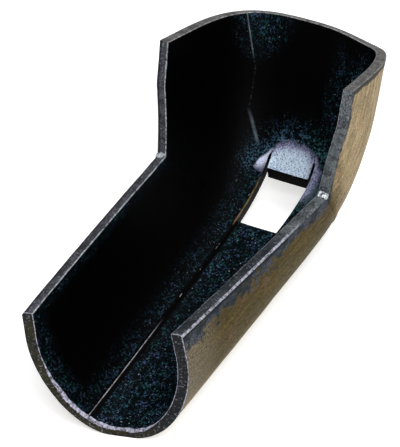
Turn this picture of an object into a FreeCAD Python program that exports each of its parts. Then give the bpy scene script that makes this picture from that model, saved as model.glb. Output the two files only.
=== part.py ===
import FreeCAD, Part
import math
import os
from FreeCAD import Rotation, Vector

# Bending trough (bending shoe) of a conduit bender: a rigid weldment of pressed steel plate.
#
# The trough runs along +Y from its front lip, then its floor bends up by BEND_ANGLE. Two side
# plates make the walls, each cut with a V at the inside of the bend, folded and welded. Two floor
# strips join them, and the gap between the strips is the window at the start of the bend.
#
# Millimetres, +Z up, open side up. It is drawn with its lip at y = 0. Then it moves along Y, so
# that the origin is under the middle of the overall box, on the surface that the trough stands on.

# ---- driving dimensions -------------------------------------------------------------------------
PLATE = 5.0                 # thickness of every plate

FLOOR_CORNER_Y = 178.5      # where the lines of the front floor and the rear floor would cross
BEND_ANGLE = 60.0           # degrees between the front floor and the rear floor
BEND_RADIUS = 88.0          # radius of the floor's outer face in the bend
REAR_STRAIGHT = 32.8        # straight rear floor above the bend

LIP_HEIGHT = 68.5           # top edge at the front lip
NOTCH = (129.0, 49.5)       # (y, z) of the notch, where the two top edges meet
REAR_CORNER = (153.5, 95.0)  # (y, z) of the rear end of the top edge
LIP_SKEW = 10.5             # degrees that the front end is cut off square, seen from above
REAR_SKEW = 2.0             # the same for the rear end, the other way
REAR_DIP = (28.0, 17.0, 2.8)    # the rear end is cut back at its right corner: place round the
                                # outer section from its middle, half length and depth

BOTTOM_FLAT = 5.0           # half width of the flat bottom, before the face is dressed flat
CORNER_HEIGHT = 54.0        # height at which the rounded bottom runs into the straight wall
LIP_HALF_WIDTH = 38.5       # half width of the section, at the lip and at the rear end
REAR_HALF_WIDTH = 46.0
LEAN = (-0.04, 0.045, 0.07)     # outward lean of the wall at the lip, the bend and the rear end
ROUNDNESS = (1.8, 2.4, 3.2)     # exponent of the rounded bottom at the same three places

FOOT_DRESSING = 0.3         # taken off the underside of the front floor to make its flat foot

FRONT_STRIP = (-14.5, 7.5)  # x of the seams on the two sides of the front strip
REAR_STRIP = (-11.0, 11.3)  # x of the seams on the two sides of the rear strip
WINDOW = (141.8, 170.7)     # y of the window's two ends, which are sawn straight down
WINDOW_SKEW = 2.5           # degrees that both ends are off square, the other way from the lip
SLIT_END = 177.2            # y where the saw cut past each upper corner of the window ends
SLIT_WIDTH = 1.3

LEFT_GROOVE = (1.4, 2.0)    # width and depth of the open joint inside the front left seam
RIGHT_GROOVE = (0.7, 0.9)   # the same for the tight joint of the front right seam

MITRE_WELD = 2.4            # thickness of the weld that fills the folded V
MITRE_PROUD = 0.35          # height of that weld above the plate's faces, ground down
MITRE_FOOT = 16.0           # height above the floor where the V's weld ends
NOTCH_BEAD = 2.3            # radius of the bead over the notch
NOTCH_SINK = 0.6            # depth of the bead's centre below the corner of the top edges
BEAD_INSET = 1.4            # from the wall's faces to the centres of the bead's round ends

SEAM_WELD_WIDTH = 4.0       # outside bead along each seam, dressed flush with the plates
SEAM_WELD_DEPTH = 2.6

EDGE_CHAMFER = 1.2          # dressing along the outer side of the top edges

# ---- values that follow from them ---------------------------------------------------------------
WALL_REACH = 80.0           # the section is drawn this high, then trimmed by the top edges
REACH = 400.0               # larger than the trough, for trimming solids
OVERRUN = 12.0              # the section runs on past both ends, then is trimmed
STATIONS = 19               # sections that the channel is lofted through
PROFILE_STEPS = 240         # fine points of the half section's formula
HALF_POINTS = 17            # points on each half of the section that its smooth curve goes through
END_STEPS = 24              # steps on each half of the line of the rear end
END_REACH = (-3.0, 8.0)     # the rear cut runs from outside the plate to inside it, as insets
TOP_FACE_AREA = 100.0       # a top edge is a flat face larger than this,
LONG_EDGE = 20.0            # with sides longer than this
TURN = math.radians(BEND_ANGLE)
BEND_START = FLOOR_CORNER_Y - BEND_RADIUS * math.tan(TURN / 2)
BEND_END = BEND_START + BEND_RADIUS * TURN
FLOOR_LENGTH = BEND_END + REAR_STRAIGHT


def floor_point(s):
    """(y, z, slope angle) of the floor's outer face at distance s along it from the lip."""
    turned = min(max((s - BEND_START) / BEND_RADIUS, 0.0), TURN)
    y = min(s, BEND_START) + BEND_RADIUS * math.sin(turned)
    z = BEND_RADIUS * (1 - math.cos(turned))
    beyond = max(s - BEND_END, 0.0)
    return y + beyond * math.cos(TURN), z + beyond * math.sin(TURN), turned


def along(values, s):
    """A value given at the lip, the start of the bend and the rear end, at distance s."""
    lip, bend, rear = values
    if s < BEND_START:
        return lip + (bend - lip) * s / BEND_START
    return bend + (rear - bend) * (s - BEND_START) / (FLOOR_LENGTH - BEND_START)


def half_profile(s):
    """Right half of the outer section as (x, height), from the top of the wall to the middle."""
    width = LIP_HALF_WIDTH + (REAR_HALF_WIDTH - LIP_HALF_WIDTH) * s / FLOOR_LENGTH
    lean = along(LEAN, s)
    power = 2 / along(ROUNDNESS, s)
    points = [(width + lean * WALL_REACH, WALL_REACH)]
    for i in range(PROFILE_STEPS + 1):
        angle = math.pi / 2 * i / PROFILE_STEPS
        height = CORNER_HEIGHT * (1 - math.sin(angle) ** power)
        rounded = max(math.cos(angle), 0.0) ** power
        points.append((BOTTOM_FLAT + (width - BOTTOM_FLAT + lean * height) * rounded, height))
    return points + [(0.0, 0.0)]


def inset(points, distance):
    """The same line moved inward, at right angles to itself."""
    moved = []
    for i, (x, h) in enumerate(points):
        before, after = points[max(i - 1, 0)], points[min(i + 1, len(points) - 1)]
        dx, dh = after[0] - before[0], after[1] - before[1]
        length = math.hypot(dx, dh)
        moved.append((x + dh / length * distance, h - dx / length * distance))
    return moved


def spread(points, count):
    """count points at equal steps along a line."""
    total = [0.0]
    for a, b in zip(points, points[1:]):
        total.append(total[-1] + math.hypot(b[0] - a[0], b[1] - a[1]))
    result, i = [], 0
    for k in range(count):
        target = total[-1] * k / (count - 1)
        while i < len(total) - 2 and total[i + 1] < target:
            i += 1
        share = (target - total[i]) / (total[i + 1] - total[i])
        result.append(tuple(p + (q - p) * share for p, q in zip(points[i], points[i + 1])))
    return result


def section_curve(s, distance):
    """The whole section line at distance s, moved inward by distance, as one smooth curve."""
    half = spread(inset(half_profile(s), distance), HALF_POINTS)
    half[-1] = (0.0, half[-1][1])
    y, z, slope = floor_point(s)
    places = []
    for x, height in half + [(-x, h) for x, h in reversed(half[:-1])]:
        raised = height - FOOT_DRESSING
        places.append(Vector(x, y - math.sin(slope) * raised, z + math.cos(slope) * raised))
    curve = Part.BSplineCurve()
    last = len(places) - 1
    curve.interpolate(Points=places, Parameters=[i / last for i in range(last + 1)])
    return curve.toShape()


def channel(outer, inner):
    """The untrimmed channel between two inward offsets, lofted through even steps of the floor."""
    first, last = -OVERRUN, FLOOR_LENGTH + OVERRUN
    wires = []
    for i in range(STATIONS):
        s = first + (last - first) * i / (STATIONS - 1)
        out, back = section_curve(s, outer), section_curve(s, inner)
        right = Part.makeLine(out.firstVertex().Point, back.firstVertex().Point)
        left = Part.makeLine(back.lastVertex().Point, out.lastVertex().Point)
        wires.append(Part.Wire([out, left, back, right]))
    return Part.makeLoft(wires, True, False)


def prism_x(outline, x0=-REACH, x1=REACH):
    """Solid with a (y, z) outline, from x0 to x1."""
    points = [Vector(x0, y, z) for y, z in outline]
    return Part.Face(Part.makePolygon(points + points[:1])).extrude(Vector(x1 - x0, 0, 0))


def prism_z(outline, z0=-REACH, z1=REACH):
    """Solid with an (x, y) outline, from z0 to z1."""
    points = [Vector(x, y, z0) for x, y in outline]
    return Part.Face(Part.makePolygon(points + points[:1])).extrude(Vector(0, 0, z1 - z0))


def slab(x0, x1):
    """Everything between two x."""
    return Part.makeBox(x1 - x0, 2 * REACH, 2 * REACH, Vector(x0, -REACH, -REACH))


def half_space(point, direction):
    """A large block on the side of a plane that direction points to."""
    block = Part.makeBox(2 * REACH, 2 * REACH, REACH, Vector(-REACH, -REACH, 0))
    block.Placement = FreeCAD.Placement(point, Rotation(Vector(0, 0, 1), direction))
    return block


def window_end(k, x):
    """y of the window's front (k 0) or rear (k 1) end at x."""
    return WINDOW[k] - x * math.tan(math.radians(WINDOW_SKEW))


def beside_window(k, forward):
    """Everything in front of (forward False) or beyond the window's end k."""
    skew, sign = math.radians(WINDOW_SKEW), 1 if forward else -1
    return half_space(Vector(0, WINDOW[k], 0),
                      Vector(sign * math.sin(skew), sign * math.cos(skew), 0))


def half_as_far_again(start, end):
    """The point past end, on the line from start, by half of their distance."""
    return tuple(b + (b - a) / 2 for a, b in zip(start, end))


def rear_end(x, height, t):
    """Distance along the floor of the rear end, for a place t round the outer section."""
    end_y, end_z, slope = floor_point(FLOOR_LENGTH)
    facing = Vector(0, REAR_CORNER[1] - end_z, end_y - REAR_CORNER[0]).normalize()
    forward = facing.y * math.cos(slope) + facing.z * math.sin(slope)
    upward = facing.z * math.cos(slope) - facing.y * math.sin(slope)
    away = x * math.tan(math.radians(REAR_SKEW)) + (height - FOOT_DRESSING) * upward
    middle, half_length, depth = REAR_DIP
    dip = depth * math.exp(-((t - middle) / half_length) ** 2)
    return FLOOR_LENGTH - away / forward - dip


def beyond_rear_end():
    """Everything beyond the rear end, whose cut is square to the sheet all the way round."""
    outer = spread(half_profile(FLOOR_LENGTH), PROFILE_STEPS + 1)
    step = math.dist(outer[0], outer[1])
    every = PROFILE_STEPS // END_STEPS
    lines = []
    for distance in END_REACH:
        moved = inset(outer, distance)
        moved[-1] = (0.0, distance)
        places = []
        for i in range(-PROFILE_STEPS, PROFILE_STEPS + 1, every):
            side, k = (1 if i < 0 else -1), PROFILE_STEPS - abs(i)
            s = rear_end(side * outer[k][0], outer[k][1], side * abs(i) * step)
            y, z, slope = floor_point(s)
            raised = moved[k][1] - FOOT_DRESSING
            places.append(Vector(side * moved[k][0], y - math.sin(slope) * raised,
                                 z + math.cos(slope) * raised))
        curve = Part.BSplineCurve()
        last = len(places) - 1
        curve.interpolate(Points=places, Parameters=[i / last for i in range(last + 1)])
        lines.append(curve.toShape())
    along_floor = Vector(0, math.cos(TURN), math.sin(TURN)) * REACH / 4
    return Part.makeRuledSurface(*lines).extrude(along_floor)


def trimmed(solid):
    """Cuts the channel to its top edges, its two ends and its flat foot."""
    front_top = half_as_far_again(NOTCH, (0.0, LIP_HEIGHT))
    rear_top = half_as_far_again(NOTCH, REAR_CORNER)
    opening = prism_x([front_top, NOTCH, rear_top, (rear_top[0], REACH), (front_top[0], REACH)])
    skew = math.radians(LIP_SKEW)
    front = half_space(Vector(0, 0, 0), Vector(math.sin(skew), -math.cos(skew), 0))
    foot = half_space(Vector(0, 0, 0), Vector(0, 0, -1))
    return solid.cut(opening).cut(front).cut(beyond_rear_end()).cut(foot)


def plate_region(side):
    """Plan area of one side plate: side is -1 for the left plate and 1 for the right plate."""
    seam = FRONT_STRIP[0] if side < 0 else FRONT_STRIP[1]
    tongue = REAR_STRIP[0] if side < 0 else REAR_STRIP[1]
    slit = tongue + side * SLIT_WIDTH
    edge = [(seam, -REACH), (seam, window_end(0, seam)), (slit, window_end(1, slit)),
            (slit, SLIT_END), (tongue, SLIT_END), (tongue, REACH)]
    return prism_z(edge + [(side * REACH, REACH), (side * REACH, -REACH)])


def mitre_direction():
    """Direction in the Y-Z plane from the notch towards the outside of the bend."""
    down = math.radians(90 - BEND_ANGLE / 2)
    return math.cos(down), -math.sin(down)


def notch_weld(side, body):
    """Weld that fills the folded V of one wall, with its bead over the notch."""
    dy, dz = mitre_direction()
    ny, nz = NOTCH
    length = (nz - MITRE_FOOT) / -dz
    half = MITRE_WELD / 2
    corners = [(ny + along_y - across * dz, nz + along_z + across * dy)
               for along_y, along_z, across in (
                   (-dy * half, -dz * half, -half), (-dy * half, -dz * half, half),
                   (dy * length, dz * length, half), (dy * length, dz * length, -half))]
    wall_side = (0, REACH) if side > 0 else (-REACH, 0)
    fill = prism_x(corners, *wall_side).common(body)
    across = [abs(v.Point.x) for v in fill.Vertexes if abs(v.Point.z - nz) < NOTCH_BEAD * 2]
    inner, outer = min(across) + BEAD_INSET, max(across) - BEAD_INSET
    centre_z = nz - NOTCH_SINK
    bead = Part.makeCylinder(NOTCH_BEAD, outer - inner, Vector(side * inner, ny, centre_z),
                             Vector(side, 0, 0))
    ends = [Part.makeSphere(NOTCH_BEAD, Vector(side * x, ny, centre_z)) for x in (inner, outer)]
    return fill.fuse([bead] + ends).removeSplitter()


def seam_weld(x, stretch, outside):
    """Bead along the part of the seam at x that is in stretch, dressed flush with the plates."""
    return outside.common(slab(x - SEAM_WELD_WIDTH / 2, x + SEAM_WELD_WIDTH / 2)).common(stretch)


def groove(x0, x1, depth):
    """Open joint between x0 and x1, cut to a depth below the floor's inner face."""
    return channel(PLATE - depth, PLATE * 2).common(slab(x0, x1))


def dressed(plate):
    """Chamfers the outer side of the plate's two top edges."""
    outer = []
    for face in plate.Faces:
        flat = isinstance(face.Surface, Part.Plane)
        if flat and abs(face.normalAt(0, 0).x) < 1e-6 and face.Area > TOP_FACE_AREA:
            long_edges = [e for e in face.Edges if e.Length > LONG_EDGE]
            outer.append(max(long_edges, key=lambda e: abs(e.CenterOfMass.x)))
    return plate.makeChamfer(EDGE_CHAMFER, outer)


def build():
    body = trimmed(channel(0.0, PLATE))
    proud = trimmed(channel(-MITRE_PROUD, PLATE + MITRE_PROUD))
    outside = body.cut(channel(SEAM_WELD_DEPTH, 2 * PLATE))
    before, beyond = beside_window(0, False), beside_window(1, True)
    past_slits = half_space(Vector(0, SLIT_END, 0), Vector(0, 1, 0))

    parts = {}
    for side, name in ((-1, "left"), (1, "right")):
        parts[f"{name}_notch_weld"] = notch_weld(side, proud)
    parts["front_floor_strip"] = body.common(slab(*FRONT_STRIP)).common(before)
    parts["rear_floor_strip"] = body.common(slab(*REAR_STRIP)).common(beyond)
    for side, name in ((-1, "left"), (1, "right")):
        plate = dressed(body.common(plate_region(side)))
        parts[f"{name}_side_plate"] = plate.cut(parts[f"{name}_notch_weld"])

    for name, x, stretch in (("front_left", FRONT_STRIP[0], before),
                             ("front_right", FRONT_STRIP[1], before),
                             ("rear_left", REAR_STRIP[0], past_slits),
                             ("rear_right", REAR_STRIP[1], past_slits)):
        weld = seam_weld(x, stretch, outside)
        parts[f"{name}_seam_weld"] = weld
        for plate in (f"{name.split('_')[1]}_side_plate", f"{name.split('_')[0]}_floor_strip"):
            parts[plate] = parts[plate].cut(weld)

    left, right = FRONT_STRIP
    parts["front_floor_strip"] = parts["front_floor_strip"].cut(
        groove(left, left + LEFT_GROOVE[0], LEFT_GROOVE[1])).cut(
        groove(right - RIGHT_GROOVE[0], right, RIGHT_GROOVE[1]))
    return parts


def main():
    os.makedirs("parts", exist_ok=True)
    parts = build()
    whole = Part.makeCompound(list(parts.values())).optimalBoundingBox(False, False)
    to_origin = Vector(0, -(whole.YMin + whole.YMax) / 2, 0)
    for name, shape in parts.items():
        shape.translate(to_origin)
        shape.exportStep(f"parts/{name}.step")
        print(f"{name}: {len(shape.Solids)} solid, valid {shape.isValid()}, "
              f"{shape.Volume / 1000:.2f} cm3, box {shape.BoundBox}")
    print("overall box", whole, "moved by", to_origin)


main()
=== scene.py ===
import math
import bpy
import numpy as np
from mathutils import Matrix, Vector


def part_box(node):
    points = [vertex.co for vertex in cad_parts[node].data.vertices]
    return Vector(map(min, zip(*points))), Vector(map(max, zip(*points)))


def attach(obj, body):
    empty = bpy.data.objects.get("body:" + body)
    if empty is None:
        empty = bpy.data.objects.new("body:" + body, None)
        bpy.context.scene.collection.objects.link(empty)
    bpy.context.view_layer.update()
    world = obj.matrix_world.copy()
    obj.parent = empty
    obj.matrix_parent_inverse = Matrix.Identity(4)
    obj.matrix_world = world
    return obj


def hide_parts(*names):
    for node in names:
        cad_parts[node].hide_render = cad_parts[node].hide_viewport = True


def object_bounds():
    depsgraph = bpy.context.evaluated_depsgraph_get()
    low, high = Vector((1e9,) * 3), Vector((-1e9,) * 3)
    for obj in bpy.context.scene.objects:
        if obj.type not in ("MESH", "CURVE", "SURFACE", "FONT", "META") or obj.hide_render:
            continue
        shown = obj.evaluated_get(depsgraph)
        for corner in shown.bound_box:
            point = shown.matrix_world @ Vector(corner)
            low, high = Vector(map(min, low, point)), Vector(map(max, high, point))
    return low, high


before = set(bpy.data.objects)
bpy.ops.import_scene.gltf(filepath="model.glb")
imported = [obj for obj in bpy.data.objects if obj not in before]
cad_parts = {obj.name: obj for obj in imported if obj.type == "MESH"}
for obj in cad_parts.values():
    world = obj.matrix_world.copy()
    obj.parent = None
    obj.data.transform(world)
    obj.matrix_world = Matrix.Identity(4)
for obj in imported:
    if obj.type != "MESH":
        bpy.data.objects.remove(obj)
cad_low, cad_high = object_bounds()

# Looks of the bending trough of a conduit bender: two pressed side plates and two floor strips,
# rounded at every cut edge, with the welds that hold them together. Metres, in the CAD frame.
# A place on the pressed sheet is (s, t, depth): s along the floor from the lip, t round the section
# from the middle of the floor (left is below zero), and depth below the outer face.
MM = 0.001

# ---- shape of the pressed sheet, as in the CAD ----------------------------------------------------
PLATE = 5.0 * MM
BEND_ANGLE = math.radians(60)
BEND_RADIUS = 88.0 * MM
FLOOR_CORNER = 178.5 * MM
REAR_STRAIGHT = 32.8 * MM
LIP_HEIGHT = 68.5 * MM
NOTCH = (129.0 * MM, 49.5 * MM)
REAR_CORNER = (153.5 * MM, 95.0 * MM)
LIP_SKEW = math.radians(10.5)
REAR_SKEW = math.radians(2)
REAR_DIP = (28.0 * MM, 17.0 * MM, 2.8 * MM)    # place round the section, half length and depth
BOTTOM_FLAT = 5.0 * MM
CORNER_HEIGHT = 54.0 * MM
WALL_REACH = 80.0 * MM
LIP_HALF_WIDTH = 38.5 * MM
REAR_HALF_WIDTH = 46.0 * MM
LEAN = (-0.04, 0.045, 0.07)
ROUNDNESS = (1.8, 2.4, 3.2)
FOOT_DRESSING = 0.3 * MM
FRONT_SEAMS = (-14.5 * MM, 7.5 * MM)
REAR_SEAMS = (-11.0 * MM, 11.3 * MM)
WINDOW_Y = (141.8 * MM, 170.7 * MM)      # the window's ends are sawn straight down, off square
WINDOW_SKEW = math.radians(2.5)
SLIT_END_Y = 177.2 * MM
SLIT_WIDTH = 1.3 * MM
SLIT_ROUNDING = 0.6 * MM
WINDOW = (142.5 * MM, 175.5 * MM)        # the ends again, as s on the inner face
MITRE_FOOT = 16.0 * MM

# ---- weld beads: width, height above the outer face and depth below it ----------------------------
SEAM_BEAD = (4.6 * MM, 0.35 * MM, 1.6 * MM)
MITRE_BEAD = (3.4 * MM, 0.16 * MM, 0)    # runs through the plate to its inner face
RIPPLE_PITCH = 1.5 * MM
NOTCH_BLOB_RADIUS = 2.25 * MM

BEND_START = FLOOR_CORNER - BEND_RADIUS * math.tan(BEND_ANGLE / 2)
BEND_END = BEND_START + BEND_RADIUS * BEND_ANGLE
FLOOR_LENGTH = BEND_END + REAR_STRAIGHT
NOTCH_S = BEND_START + BEND_RADIUS * math.atan2(NOTCH[0] - BEND_START, BEND_RADIUS - NOTCH[1])
# The CAD frame's y at the middle of the lip, from the strip's lowest corner at the skewed lip.
LIP_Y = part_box("front_floor_strip")[0].y - FRONT_SEAMS[0] * math.tan(LIP_SKEW)

# ---- tables of the section, by s and t ------------------------------------------------------------
S_STEP = 1.0 * MM
T_STEP = 0.5 * MM
S_GRID = np.arange(-20 * MM, FLOOR_LENGTH + 20 * MM, S_STEP)
T_GRID = np.arange(0, 105 * MM, T_STEP)
PROFILE_STEPS = 600
SETTLING_STEPS = 5       # rounds of the loops that find where the sheet meets a cut
WINDOW_STEPS = 9         # the same for the window, whose ends are not square to the sheet


def along(values, s):
    """A value given at the lip, the start of the bend and the rear end."""
    lip, bend, rear = values
    front = lip + (bend - lip) * s / BEND_START
    back = bend + (rear - bend) * (s - BEND_START) / (FLOOR_LENGTH - BEND_START)
    return np.where(s < BEND_START, front, back)


def section_tables():
    """x, height and their slopes at every place of S_GRID and T_GRID, on the right outer face."""
    s = S_GRID[:, None]
    width = LIP_HALF_WIDTH + (REAR_HALF_WIDTH - LIP_HALF_WIDTH) * s / FLOOR_LENGTH
    lean, power = along(LEAN, s), 2 / along(ROUNDNESS, s)
    angle = np.linspace(math.pi / 2, 0, PROFILE_STEPS)[None]
    height = CORNER_HEIGHT * (1 - np.sin(angle) ** power)
    rounded = np.clip(np.cos(angle), 0, 1) ** power
    x = BOTTOM_FLAT + (width - BOTTOM_FLAT + lean * height) * rounded
    top = np.full_like(s, 1.4 * WALL_REACH)
    x = np.hstack([0 * s, x, width + lean * top])
    height = np.hstack([0 * s, height, top])
    step = np.hypot(np.diff(x), np.diff(height))
    arc = np.hstack([0 * s, np.cumsum(step, axis=1)])
    xs = np.array([np.interp(T_GRID, a, v) for a, v in zip(arc, x)])
    hs = np.array([np.interp(T_GRID, a, v) for a, v in zip(arc, height)])
    return xs, hs, np.gradient(xs, T_STEP, axis=1), np.gradient(hs, T_STEP, axis=1)


SECTION = section_tables()


def look_up(table, s, t):
    """A table's value at places between its own."""
    i = np.clip((s - S_GRID[0]) / S_STEP, 0, len(S_GRID) - 1.001)
    j = np.clip(t / T_STEP, 0, len(T_GRID) - 1.001)
    i0, j0 = i.astype(int), j.astype(int)
    a, b = i - i0, j - j0
    low = table[i0, j0] * (1 - b) + table[i0, j0 + 1] * b
    high = table[i0 + 1, j0] * (1 - b) + table[i0 + 1, j0 + 1] * b
    return low * (1 - a) + high * a


def floor_point(s):
    """(y, z, slope angle) of the floor's outer face at distance s along it."""
    turned = np.clip((s - BEND_START) / BEND_RADIUS, 0, BEND_ANGLE)
    y = np.minimum(s, BEND_START) + BEND_RADIUS * np.sin(turned)
    z = BEND_RADIUS * (1 - np.cos(turned))
    beyond = np.maximum(s - BEND_END, 0)
    return y + beyond * math.cos(BEND_ANGLE), z + beyond * math.sin(BEND_ANGLE), turned


def half_section(s, t, depth):
    """(x, raised) in the section's own plane, on the right half."""
    x, height, dx, dh = (look_up(table, s, t) for table in SECTION)
    return x - dh * depth, height + dx * depth - FOOT_DRESSING


def place(s, t, depth):
    """Points of the sheet, as an array with x, y, z in its last axis."""
    s, t, depth = np.broadcast_arrays(s, t, depth)
    x, raised = half_section(s, np.abs(t), depth)
    y, z, turned = floor_point(s)
    z = np.maximum(z + np.cos(turned) * raised, 0)
    return np.stack([np.sign(t) * x, y - np.sin(turned) * raised + LIP_Y, z], axis=-1)


# ---- edges of the pieces: where each one is, at a depth -------------------------------------------
def t_at_x(x_line, depth):
    """t over S_GRID where the sheet crosses a line, given as x by y before the move to LIP_Y."""
    low = T_GRID < 35 * MM
    s, t = np.meshgrid(S_GRID, T_GRID[low], indexing="ij")
    across, raised = half_section(s, t, depth)
    y, _, turned = floor_point(s)
    wanted = x_line(y - np.sin(turned) * raised)
    sign = np.sign(wanted[:, :1])
    gap = across - np.abs(wanted)
    return sign[:, 0] * np.array([np.interp(0, g, T_GRID[low]) for g in gap])


def t_at_top(depth):
    """(t of the top edge over S_GRID, how much a cut square to that edge is stretched along t)."""
    y, z, turned = floor_point(S_GRID)
    front_slope = (NOTCH[1] - LIP_HEIGHT) / NOTCH[0]
    rear_slope = (REAR_CORNER[1] - NOTCH[1]) / (REAR_CORNER[0] - NOTCH[0])
    rear_zero = NOTCH[1] - rear_slope * NOTCH[0]
    result = []
    for slope, zero in ((front_slope, LIP_HEIGHT), (rear_slope, rear_zero)):
        facing = np.cos(turned) + slope * np.sin(turned)
        raised = (zero + slope * y - z) / facing
        s, t = np.meshgrid(S_GRID, T_GRID, indexing="ij")
        rows = half_section(s, t, depth)[1]
        height = np.array([np.interp(r, row, T_GRID) for r, row in zip(raised, rows)])
        result.append((height, math.hypot(1, slope) / facing))
    return result


def s_at_lip(t, depth):
    """s of the front end, which is cut off square by LIP_SKEW."""
    s = np.zeros_like(t)
    for _ in range(SETTLING_STEPS):
        s = place(s, t, depth)[..., 0] * math.tan(LIP_SKEW)
    return s


def s_at_rear(t, depth):
    """s of the rear end, which is square to the sheet and lower round its right corner."""
    x, raised = half_section(np.full_like(t, FLOOR_LENGTH), np.abs(t), 0.0)
    end_y, end_z, _ = floor_point(FLOOR_LENGTH)
    facing = Vector((0, REAR_CORNER[1] - end_z, end_y - REAR_CORNER[0])).normalized()
    forward = facing.y * math.cos(BEND_ANGLE) + facing.z * math.sin(BEND_ANGLE)
    upward = facing.z * math.cos(BEND_ANGLE) - facing.y * math.sin(BEND_ANGLE)
    away = np.sign(t) * x * math.tan(REAR_SKEW) + raised * upward
    dip = REAR_DIP[2] * np.exp(-((t - REAR_DIP[0]) / REAR_DIP[1]) ** 2)
    return FLOOR_LENGTH - away / forward - dip


def s_at_window(k):
    """The s of the window's front (k 0) or rear (k 1) end."""
    def at(t, depth):
        s = np.full_like(t, WINDOW[k])
        for _ in range(WINDOW_STEPS):
            x, y, _ = np.moveaxis(place(s, t, depth), -1, 0)
            wanted = WINDOW_Y[k] - x * math.tan(WINDOW_SKEW) + LIP_Y
            s = s + (wanted - y) / np.cos(floor_point(s)[2])
        return s
    return at


def s_on_seam(side, wanted):
    """The s where the y of a side plate's inner edge is wanted, the same all round the section."""
    def at(t, depth):
        y = place(S_GRID, t_at_x(seam_line(side), depth), depth)[:, 1] - LIP_Y
        return np.full(np.shape(t), np.interp(wanted, y, S_GRID))
    return at


def corner_cut(depth, outer, inner, power):
    """How far an edge is cut back at a depth, by its outer and its inner corner's dressing."""
    a = np.clip(1 - depth / outer, 0, 1)
    b = np.clip(1 - (PLATE - depth) / inner, 0, 1)
    return outer * (1 - (1 - a**power) ** (1 / power)) + inner * (1 - (1 - b**power) ** (1 / power))


def waves(s, t, seed, length):
    """Smooth unevenness from -1 to 1, the same in each run."""
    draw = np.random.default_rng(seed)
    total = np.zeros(np.broadcast(s, t).shape)
    count = 9
    for _ in range(count):
        angle, phase = draw.uniform(0, math.tau, 2)
        wave = math.tau / length / draw.uniform(0.6, 1.7)
        total += np.sin(wave * (s * math.cos(angle) + t * math.sin(angle)) + phase)
    return total / math.sqrt(count) / 1.6


def top_line():
    """t of the top edge over S_GRID, on the outer face."""
    (front, _), (rear, _) = t_at_top(0.0)
    return np.where(S_GRID < NOTCH_S, front, rear)


TOP_LINE = top_line()

# ---- mesh of one sheet piece ----------------------------------------------------------------------
STEP = 1.6 * MM
INNER, OUTER, FRONT, REAR, LOW, HIGH = range(6)    # a piece's material slots: two faces, four edges
DEPTHS = np.array([0, 0.08, 0.2, 0.4, 0.7, 1.2, 2.5, 3.6, 4.1, 4.45, 4.72, 4.9, 5.0]) * MM


def ease(x):
    """A smooth step from 0 to 1."""
    x = np.clip(x, 0, 1)
    return x * x * (3 - 2 * x)


def dish(s, t):
    """1 on the patch round the window's upper end, under the painted reflection there, 0 away from it.
    """
    ds, dt = (s - WINDOW[1]) / (17.5 * MM), (t - 1.5 * MM) / (19 * MM)
    return ease((1.12 - np.hypot(np.maximum(ds, ds * 0.55), dt)) / 0.3)


def lip_wear(t, seed):
    """How much of the lip's inner bevel is there: much at the bottom, little at its two tops."""
    broad = ease((t + 64 * MM) / (30 * MM)) * ease((26 * MM - t) / (16 * MM))
    return (0.25 + 0.75 * broad) * (1 + 0.35 * waves(t, t * 0, 90, 9 * MM))


def sheet_piece(name, stations, low_t, high_t, dressing, rows, seed):
    """A closed, rounded piece of the sheet.

    stations are the s that columns of vertices keep to, each a number or a function of t and depth.
    low_t and high_t give, for a depth, t over S_GRID at the piece's two sides. dressing gives the
    (outer, inner) corner size of its front, rear, low and high edge.
    """
    def reach(station, t, depth):
        return station(t, depth) if callable(station) else np.full(t.shape, station)

    nominal = [float(reach(a, np.zeros(1), 2.5 * MM)[0]) for a in stations]
    columns = []
    for k, (a, b) in enumerate(zip(nominal, nominal[1:])):
        count = max(1, round((b - a) / STEP))
        columns += [(k, i / count) for i in range(count)]
    columns.append((len(nominal) - 2, 1.0))
    span = np.array([k for k, _ in columns])[:, None]
    share = np.array([f for _, f in columns])[:, None]
    nominal = np.array(nominal)
    first_guess = nominal[span] + share * (nominal[span + 1] - nominal[span])
    v = np.linspace(0, 1, rows)[None]
    layers = []
    for depth in DEPTHS:
        front, rear, low, high = (corner_cut(depth, *size, 1.4) for size in dressing)
        low_line, high_line = low_t(depth, low), high_t(depth, high)
        s = np.repeat(first_guess, rows, axis=1)
        for _ in range(SETTLING_STEPS):
            a, b = np.interp(s, S_GRID, low_line), np.interp(s, S_GRID, high_line)
            t = a + v * (b - a)
            ends = [reach(station, t, depth) for station in stations]
            wear = lip_wear(t, seed) if stations[0] is s_at_lip else 1
            ends[0] = ends[0] + front * wear
            ends[-1] = ends[-1] - rear
            stack = np.array(ends)
            begin = np.take_along_axis(stack, np.broadcast_to(span, s.shape)[None], 0)[0]
            stop = np.take_along_axis(stack, np.broadcast_to(span + 1, s.shape)[None], 0)[0]
            s = begin + share * (stop - begin)
        layers.append((s, t))
    return solid_from_layers(name, layers, seed)


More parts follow.
